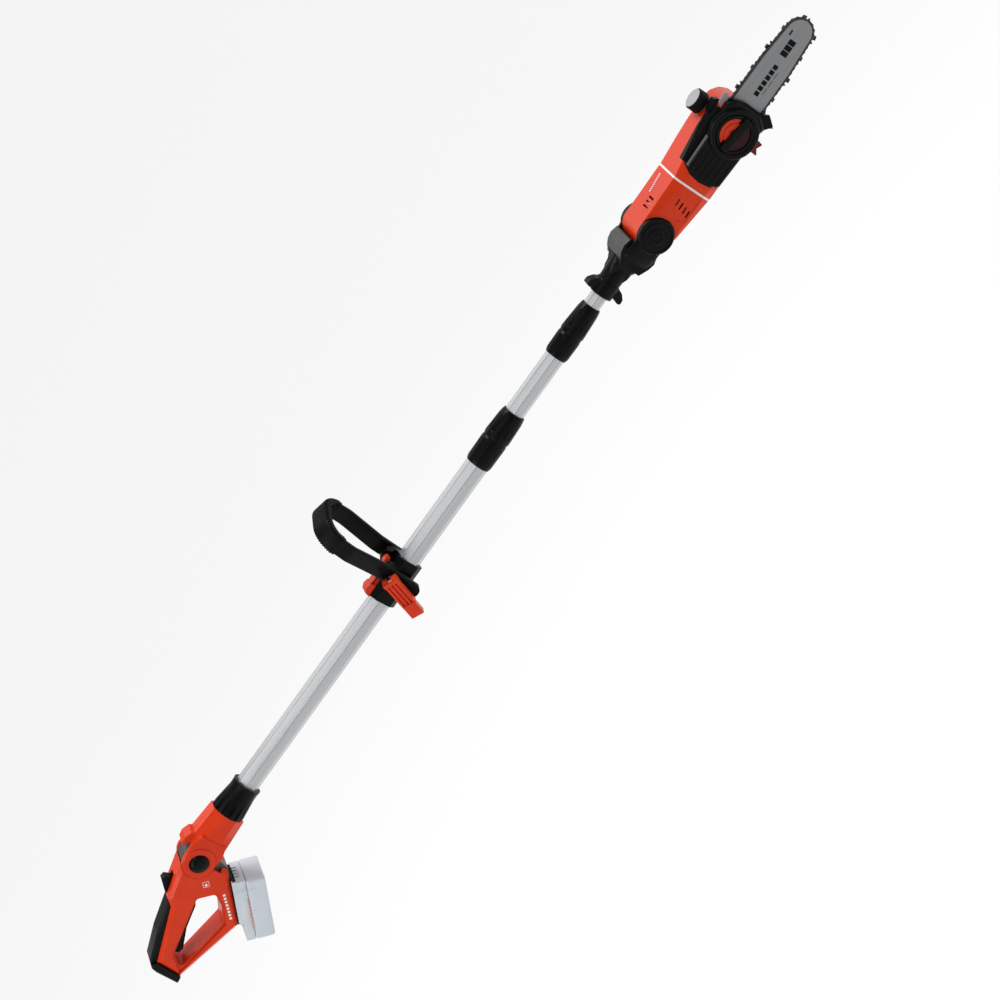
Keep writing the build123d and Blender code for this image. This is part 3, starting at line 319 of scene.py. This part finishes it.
def make_materials():
    """One material for each of the record's slots, and a few for the added pieces."""
    along = (0.03, 1, 1)
    plain = (1, 1, 1)
    return {
        "red_shell": moulded("red_shell", (0.62, 0.032, 0.004), (0.70, 0.040, 0.005), 0.28, coat=0.08,
                             grain=900.0, depth=0.00003, strength=0.08, specular=0.16),
        # Painted shade: a darker red for red parts of the housing that lie in shadow.
        "dark_red": moulded("dark_red", (0.10, 0.006, 0.004), (0.14, 0.009, 0.005), 0.4, specular=0.2),
        "black_plastic": moulded("black_plastic", (0.0028, 0.0029, 0.0032), (0.0048, 0.0049, 0.0054), 0.30,
                                 grain=2600.0, strength=0.15, specular=0.09),
        "cap_black": moulded("cap_black", (0.003, 0.003, 0.003), (0.005, 0.005, 0.005), 0.34, specular=0.09),
        "black_rubber": moulded("black_rubber", (0.0035, 0.0035, 0.004), (0.006, 0.006, 0.0065), 0.42,
                                grain=3200.0, depth=0.00006, strength=0.25, specular=0.10),
        # Painted shade: a near-black red for the knob's lower crescent, which is red but lies in shadow.
        "painted_shade_red": moulded("painted_shade_red", (0.020, 0.003, 0.002), (0.030, 0.004, 0.003), 0.35,
                                specular=0.15),
        "grey_plastic": moulded("grey_plastic", (0.062, 0.056, 0.053), (0.085, 0.077, 0.073), 0.45,
                                grain=2400.0, strength=0.2, specular=0.35),
        "dotted_grey": dotted("dotted_grey", (0.045, 0.043, 0.043), (0.085, 0.082, 0.080), 0.42, 700.0),
        "cap_grey": moulded("cap_grey", (0.34, 0.34, 0.35), (0.42, 0.42, 0.43), 0.42),
        "plate_grey": moulded("plate_grey", (0.22, 0.23, 0.235), (0.29, 0.30, 0.305), 0.4),
        # Painted highlight: the pale grey of light caught on the sprocket cover's chamfered edge.
        "painted_highlight_grey": moulded("painted_highlight_grey", (0.085, 0.09, 0.092), (0.12, 0.125, 0.128), 0.4),
        "mark_white": moulded("mark_white", (0.80, 0.80, 0.79), (0.86, 0.86, 0.85), 0.5),
        "mark_orange": moulded("mark_orange", (0.66, 0.22, 0.12), (0.74, 0.27, 0.15), 0.5),
        "mark_black": moulded("mark_black", (0.004, 0.004, 0.004), (0.006, 0.006, 0.006), 0.6, specular=0.1),
        "mark_blue": moulded("mark_blue", (0.42, 0.48, 0.56), (0.47, 0.53, 0.61), 0.5),
        "band_silver": moulded("band_silver", (0.68, 0.69, 0.70), (0.76, 0.77, 0.78), 0.28, coat=0.3),
        "battery_plastic": moulded("battery_plastic", (0.57, 0.62, 0.68), (0.64, 0.69, 0.74), 0.35,
                                   specular=0.35),
        "tube_aluminium": drawn_metal("tube_aluminium", (0.43, 0.44, 0.45), (0.50, 0.51, 0.52), 0.25, along,
                                      scale=160.0, depth=0.00001, strength=0.05, metallic=0.6),
        "bar_steel": drawn_metal("bar_steel", (0.20, 0.205, 0.21), (0.27, 0.275, 0.28), 0.42, (0.05, 1, 1)),
        "chain_steel": drawn_metal("chain_steel", (0.035, 0.035, 0.037), (0.075, 0.075, 0.078), 0.36, plain),
        "gear_steel": drawn_metal("gear_steel", (0.42, 0.42, 0.43), (0.52, 0.52, 0.53), 0.3, (1, 0.2, 1)),
        "screw_steel": drawn_metal("screw_steel", (0.12, 0.12, 0.125), (0.18, 0.18, 0.185), 0.35, plain),
        "motor_steel": drawn_metal("motor_steel", (0.14, 0.14, 0.15), (0.2, 0.2, 0.21), 0.4, along),
        "tank_plastic": moulded("tank_plastic", (0.66, 0.65, 0.58), (0.74, 0.73, 0.66), 0.45),
        "collet_white": moulded("collet_white", (0.62, 0.62, 0.60), (0.70, 0.70, 0.68), 0.4),
    }


MATERIALS = make_materials()


# ---------------------------------------------------------------- meshes

def add_object(name, mesh_builder, body, material, smooth_angle=35.0):
    """Make a mesh object from a finished bmesh, dress it and let it ride on a body."""
    bmesh.ops.recalc_face_normals(mesh_builder, faces=mesh_builder.faces)
    mesh = bpy.data.meshes.new(name)
    mesh_builder.to_mesh(mesh)
    mesh_builder.free()
    piece = bpy.data.objects.new(name, mesh)
    bpy.context.scene.collection.objects.link(piece)
    smooth(piece, smooth_angle)
    piece.data.materials.clear()
    piece.data.materials.append(MATERIALS[material])
    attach(piece, body)
    return piece


def add_plate(builder, outline, y_low, y_high, place=Matrix.Identity(4)):
    """An outline in (x, z), in mm, from one y to another, set in place."""
    rings = []
    for y in (y_low, y_high):
        rings.append([builder.verts.new(place @ (Vector((x, y, z)) * MM)) for x, z in outline])
    builder.faces.new(rings[0])
    builder.faces.new(list(reversed(rings[1])))
    for i in range(len(outline)):
        j = (i + 1) % len(outline)
        builder.faces.new((rings[0][i], rings[0][j], rings[1][j], rings[1][i]))


def rounded_box(width, height, radius, steps=4):
    """The corners of a rectangle with rounded corners, centred, in mm."""
    points = []
    for turn, (sx, sz) in enumerate(((1, 1), (-1, 1), (-1, -1), (1, -1))):
        for i in range(steps + 1):
            angle = math.radians(90.0 * (turn + i / steps))
            x = sx * (width / 2 - radius) + radius * math.cos(angle)
            z = sz * (height / 2 - radius) + radius * math.sin(angle)
            points.append((x, z))
    return points


def circle(radius, count, x):
    """Points round a circle centred at (x, 0), in mm."""
    angles = [math.tau * i / count for i in range(count)]
    return [(x + radius * math.cos(a), radius * math.sin(a)) for a in angles]


def placed(x, z, degrees=0.0, y=0.0):
    """A place in the side view: moved to (x, y, z) in mm and turned in the XZ plane, X towards Z."""
    return Matrix.Translation(Vector((x, y, z)) * MM) @ Matrix.Rotation(math.radians(-degrees), 4, "Y")


def smooth(piece, degrees):
    """Shade smoothly, with creases where faces meet at more than an angle."""
    mesh = piece.data
    mesh.polygons.foreach_set("use_smooth", [True] * len(mesh.polygons))
    mesh.set_sharp_from_angle(angle=math.radians(degrees))


def add_bevelled_copy(node, width):
    """A copy of a CAD piece with its hard edges rounded, which then stands for it."""
    source = NODES[node]
    mesh = source.data.copy()
    mesh.name = node + "_finished"
    builder = bmesh.new()
    builder.from_mesh(mesh)
    bmesh.ops.remove_doubles(builder, verts=builder.verts, dist=0.00002)
    bmesh.ops.dissolve_limit(builder, angle_limit=math.radians(1.0), verts=builder.verts, edges=builder.edges)
    builder.to_mesh(mesh)
    builder.free()
    piece = bpy.data.objects.new(node + "_finished", mesh)
    bpy.context.scene.collection.objects.link(piece)
    if mesh.has_custom_normals:
        mesh.normals_split_custom_set([(0.0, 0.0, 0.0)] * len(mesh.loops))
    smooth(piece, SHARP_FROM)
    bevel = piece.modifiers.new("edges", "BEVEL")
    bevel.width = width
    bevel.segments = EDGE_STEPS
    bevel.limit_method = "ANGLE"
    bevel.angle_limit = math.radians(SHARP_FROM)
    bevel.use_clamp_overlap = True
    bevel.harden_normals = True
    slot = SLOT_OF[node]
    mesh.materials.clear()
    mesh.materials.append(MATERIALS[slot])
    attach(piece, BODY_OF[node])
    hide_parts(node)


def dress_cad():
    """Round the edges of every shown piece; give the inner pieces their materials as they are."""
    for node, width in ROUNDED.items():
        add_bevelled_copy(node, width * MM)
    for node, piece in NODES.items():
        if node not in ROUNDED:
            piece.data.materials.clear()
            piece.data.materials.append(MATERIALS[SLOT_OF[node]])


# ---------------------------------------------------------------- chain

def chain_run(grow):
    """Close points round the chain's run, from the sprocket along the top to the nose and back."""
    radius = SPROCKET_PATH_R + grow
    nose = NOSE_R + grow
    upper = [(SPROCKET_X - 1.0, radius)]
    upper += [(x, BAR_HALF_HEIGHT + grow) for x in BAR_STRAIGHT]
    points = list(upper)
    for i in range(41):
        angle = math.radians(90.0 - 4.5 * i)
        points.append((NOSE_X + 1.5 + (nose - 1.5) * math.cos(angle), nose * math.sin(angle)))
    points += [(x, -z) for x, z in reversed(upper)]
    for i in range(1, 24):
        angle = math.radians(270.0 - 7.5 * i)
        points.append((SPROCKET_X - 1.0 + (radius - 1.0) * math.cos(angle), radius * math.sin(angle)))
    return points


def walk(points, spacing, closed):
    """Evenly spaced (place, direction) pairs along a line of points."""
    corners = [Vector(p) for p in points]
    if closed:
        corners.append(corners[0])
    lengths = [(b - a).length for a, b in zip(corners, corners[1:])]
    count = round(sum(lengths) / spacing)
    step = sum(lengths) / count
    stations = []
    travelled = 0.0
    for a, b, length in zip(corners, corners[1:], lengths):
        while len(stations) < count and len(stations) * step <= travelled + length:
            along = (len(stations) * step - travelled) / length
            stations.append((a.lerp(b, along), (b - a).normalized()))
        travelled += length
    return stations


def make_chain():
    """Drive links, tie straps, cutters and rivets round the bar, standing for the plain chain."""
    builder = bmesh.new()
    stations = walk(chain_run(RIVET_LINE), RIVET_PITCH, True)
    count = len(stations)
    for i in range(count):
        a = stations[i][0]
        b = stations[(i + 1) % count][0]
        middle = (a + b) / 2
        degrees = math.degrees(math.atan2((b - a).y, (b - a).x))
        place = placed(middle.x, middle.y + BAR_Z, degrees, BAR_Y)
        if i % 2:
            add_plate(builder, DRIVE_LINK, -DRIVE_HALF, DRIVE_HALF, place)
            continue
        cutting_side = 0
        if i % 4 == 0:
            cutting_side = 1 if i % 8 else -1
        for side in (-1, 1):
            low, high = sorted(side * y for y in STRAP_SIDES)
            add_plate(builder, CUTTER if side == cutting_side else STRAP, low, high, place)
            if side == cutting_side:
                low, high = sorted(side * y for y in CUTTER_TOP_SIDES)
                add_plate(builder, CUTTER_TOP, low, high, place)
        for x in (-RIVET_PITCH / 2, RIVET_PITCH / 2):
            add_plate(builder, circle(RIVET_R, 8, x), -RIVET_HALF, RIVET_HALF, place)
    chain = add_object("chain_links", builder, "saw_head", "chain_steel")
    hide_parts("saw_chain")


# ---------------------------------------------------------------- front grip's ribs

def rounded_route(corners, bends):
    """A line of points through corners, each corner rounded by its bend radius."""
    points = [Vector(corners[0])]
    for before, corner, after, radius in zip(corners, corners[1:], corners[2:], bends):
        at = Vector(corner)
        back = (Vector(before) - at).normalized()
        ahead = (Vector(after) - at).normalized()
        half_angle = back.angle(ahead) / 2
        reach = radius / math.tan(half_angle)
        centre = at + (back + ahead).normalized() * (radius / math.sin(half_angle))
        start = at + back * reach - centre
        end = at + ahead * reach - centre
        sweep = start.angle_signed(end)
        for i in range(13):
            points.append(centre + Matrix.Rotation(-sweep * i / 12, 2) @ start)
    points.append(Vector(corners[-1]))
    return points


def make_grip_ribs():
    """Close ribs round the rubber grip at the top of the loop."""
    builder = bmesh.new()
    turn = Matrix.Rotation(math.radians(-LOOP_YAW), 4, "Z") @ Matrix.Rotation(math.radians(LOOP_LEAN), 4, "Y")
    hub = Matrix.Translation(BOLT * MM) @ turn
    outline = rounded_box(*RIB_SIZE, RIB_CORNER)
    for at, along in walk(rounded_route(LOOP_ROUTE, LOOP_BENDS), RIB_SPACING, False):
        if at.y < RIB_FROM:
            continue
        frame_axes = Matrix(((1, 0, 0), (0, along.x, -along.y), (0, along.y, along.x))).to_4x4()
        place = hub @ Matrix.Translation(Vector((0, at.x, at.y)) * MM) @ frame_axes
        add_plate(builder, outline, -RIB_HALF, RIB_HALF, place)
    add_object("grip_ribs", builder, "front_grip", "black_rubber", 60.0)


# ---------------------------------------------------------------- small pieces and printed marks

def make_knob_insert():
    """Crescents in the clamp knob, either side of its grip bar: red above, and below a near-black red that is
    painted shade on a crescent that is red like the upper one.
    """
    place = placed(KNOB_X, BAR_Z, KNOB_TURN)
    # The dark crescent is painted shade on red plastic; the bright one is the knob's own red.
    for name, sign, material in (("bright", 1, "red_shell"), ("dark", -1, "painted_shade_red")):
        builder = bmesh.new()
        arc = [math.radians(sign * (CRESCENT_FROM + CRESCENT_SWEEP * i / 24)) for i in range(25)]
        for radius, face in CRESCENTS:
            outline = [(radius * math.cos(a), radius * math.sin(a)) for a in arc]
            add_plate(builder, outline, face, CRESCENT_BACK, place)
        add_object("knob_" + name, builder, "clamp_knob", material)


def make_hood():
    """The dotted grey skin over the rounded cross-piece behind the saw head."""
    builder = bmesh.new()
    outer = [(x, z + HOOD_OUT) for x, z in HOOD]
    inner = [(x, z - HOOD_IN) for x, z in reversed(HOOD)]
    add_plate(builder, outer + inner, -HOOD_HALF, HOOD_HALF)
    add_object("neck_hood", builder, "upper_pole", "dotted_grey", 60.0)


def make_cap_face():
    """The grey end face let into the oil cap."""
    builder = bmesh.new()
    face = bmesh.ops.create_cone(builder, cap_ends=True, segments=48, radius1=CAP_LOW_R * MM,
                                 radius2=CAP_TOP_R * MM, depth=CAP_DEPTH * MM)
    bmesh.ops.translate(builder, verts=face["verts"], vec=Vector(CAP_CENTRE) * MM)
    add_object("cap_face", builder, "oil_cap", "cap_grey")


def make_bar_plate():
    """The small grey plate that stands by the bar's root."""
    builder = bmesh.new()
    add_plate(builder, BAR_PLATE, *BAR_PLATE_FACES)
    add_object("bar_plate", builder, "saw_head", "plate_grey")


def make_bar_guard():
    """The black ribbed guard in front of the bar's root."""
    builder = bmesh.new()
    add_plate(builder, BAR_GUARD, *BAR_GUARD_FACES)
    for i in range(GUARD_RIBS):
        near = GUARD_RIB_X + GUARD_RIB_SPACING * i
        far = near + GUARD_RIB_WIDTH
        top = GUARD_RIB_TOP - i
        rib = [(near, top), (far, top), (far, GUARD_RIB_BOTTOM), (near, GUARD_RIB_BOTTOM)]
        add_plate(builder, rib, *GUARD_RIB_FACES)
    add_object("bar_guard", builder, "saw_head", "black_plastic")


def make_cap_shelf():
    """The black shelf beside the oil cap."""
    builder = bmesh.new()
    add_plate(builder, CAP_SHELF, *CAP_SHELF_FACES)
    add_object("cap_shelf", builder, "saw_head", "black_plastic")


def make_cover_highlight():
    """A pale grey strip along the sprocket cover's chamfered top edge: a painted highlight where the chamfer
    catches the light.
    """
    builder = bmesh.new()
    front = [builder.verts.new(Vector(c) * MM) for c in COVER_HIGHLIGHT]
    back = [builder.verts.new((Vector(c) + COVER_HIGHLIGHT_DEPTH) * MM) for c in COVER_HIGHLIGHT]
    builder.faces.new(front)
    builder.faces.new(list(reversed(back)))
    for i in range(len(front)):
        j = (i + 1) % len(front)
        builder.faces.new((front[i], back[i], back[j], front[j]))
    add_object("cover_highlight", builder, "saw_head", "painted_highlight_grey")


def add_mark_row(name, body, material, slot, start, end, count, size, y):
    """A row of small flat bars between two points of the side view, in place of any lettering."""
    builder = bmesh.new()
    run = Vector(end) - Vector(start)
    degrees = math.degrees(math.atan2(run.y, run.x))
    outline = rounded_box(*size, MARK_CORNER, 2)
    for i in range(count):
        at = Vector(start) + run * ((i + 0.5) / count)
        add_plate(builder, outline, -MARK_RAISE, MARK_RAISE, placed(at.x, at.y, degrees, y))
    add_object(name, builder, body, material)


def make_head_marks():
    """A row of short white bars across the top of the head, behind the band."""
    builder = bmesh.new()
    turn = Matrix.Rotation(math.radians(HEAD_MARK_TURN), 4, "Z")
    for i in range(HEAD_MARKS):
        at = Vector(HEAD_MARK_START).lerp(Vector(HEAD_MARK_END), i / (HEAD_MARKS - 1))
        place = Matrix.Translation(Vector((at.x, at.y, HEAD_TOP)) * MM) @ turn
        add_plate(builder, HEAD_MARK, -HEAD_MARK_HALF, HEAD_MARK_HALF, place)
    add_object("head_mark_row", builder, "saw_head", "mark_white")


def make_box_mark():
    """A white square outline with a dot in it, on the handle."""
    builder = bmesh.new()
    centre = placed(*BOX_MARK_AT, BOX_MARK_TURN, HANDLE_FACE)
    for angle in (0, 90, 180, 270):
        turned = centre @ Matrix.Rotation(math.radians(angle), 4, "Y")
        add_plate(builder, BOX_MARK_SIDE, -MARK_RAISE, MARK_RAISE, turned)
    dot = placed(*BOX_MARK_DOT_AT, BOX_MARK_TURN, HANDLE_FACE)
    add_plate(builder, rounded_box(*BOX_MARK_DOT, BOX_MARK_DOT_CORNER, 2), -MARK_RAISE, MARK_RAISE, dot)
    add_object("handle_mark_box", builder, "handle", "mark_white")


# ---------------------------------------------------------------- room, light and camera

def make_camera():
    """The camera, set by its azimuth, elevation and roll about the point it looks at."""
    azimuth, elevation, roll = (math.radians(v) for v in (VIEW_AZIMUTH, VIEW_ELEVATION, VIEW_ROLL))
    back = Vector((math.sin(azimuth) * math.cos(elevation), -math.cos(azimuth) * math.cos(elevation),
                   math.sin(elevation)))
    level = Vector((math.cos(azimuth), math.sin(azimuth), 0.0))
    rise = back.cross(level)
    right = level * math.cos(roll) + rise * math.sin(roll)
    up = back.cross(right)
    data = bpy.data.cameras.new("camera")
    data.lens = LENS
    data.sensor_width = 36.0
    data.clip_end = 100.0
    camera = bpy.data.objects.new("camera", data)
    bpy.context.scene.collection.objects.link(camera)
    turn = Matrix((right, up, back)).transposed().to_4x4()
    camera.matrix_world = Matrix.Translation(LOOK_AT + back * VIEW_DISTANCE) @ turn
    bpy.context.scene.camera = camera


def area_light(name, place, target, size, power):
    """A soft box at a place, turned towards a target."""
    data = bpy.data.lights.new(name, "AREA")
    data.shape = "RECTANGLE"
    data.size, data.size_y = size
    data.energy = power
    light = bpy.data.objects.new(name, data)
    bpy.context.scene.collection.objects.link(light)
    direction = Vector(target) - Vector(place)
    light.location = place
    light.rotation_euler = direction.to_track_quat("-Z", "Y").to_euler()


def sun(name, towards, strength, softness):
    """A soft distant light; towards is where it stands as seen from the saw."""
    data = bpy.data.lights.new(name, "SUN")
    data.energy = strength
    data.angle = math.radians(softness)
    light = bpy.data.objects.new(name, data)
    bpy.context.scene.collection.objects.link(light)
    light.rotation_euler = (-Vector(towards)).to_track_quat("-Z", "Y").to_euler()


def make_floor():
    """A wide pale floor well below the saw."""
    low, _ = CAD_BOX
    builder = bmesh.new()
    bmesh.ops.create_grid(builder, x_segments=8, y_segments=8, size=FLOOR_HALF)
    mesh = bpy.data.meshes.new("floor")
    builder.to_mesh(mesh)
    builder.free()
    floor = bpy.data.objects.new("floor", mesh)
    floor.location = (0, 0, low.z - FLOOR_DROP)
    bpy.context.scene.collection.objects.link(floor)
    paper, shader = base_material("paper", 0.9, specular=0.1)
    shader.inputs["Base Color"].default_value = (0.93, 0.93, 0.93, 1)
    mesh.materials.append(paper)


def make_light():
    """An even sky, a soft overhead sun and soft boxes."""
    world = bpy.data.worlds.new("studio")
    world.use_nodes = True
    sky = world.node_tree.nodes["Background"]
    sky.inputs["Color"].default_value = (1, 1, 1, 1)
    sky.inputs["Strength"].default_value = SKY_STRENGTH
    bpy.context.scene.world = world
    sun("overhead", SUN_FROM, SUN_STRENGTH, SUN_SOFTNESS)
    for box in SOFT_BOXES:
        area_light(*box)
    bpy.context.scene.view_settings.view_transform = "Standard"


make_camera()
make_floor()
make_light()
dress_cad()
make_chain()
make_grip_ribs()
make_knob_insert()
make_hood()
make_cap_face()
make_bar_plate()
make_bar_guard()
make_cap_shelf()
make_cover_highlight()
for row in MARK_ROWS:
    add_mark_row(*row)
make_head_marks()
make_box_mark()
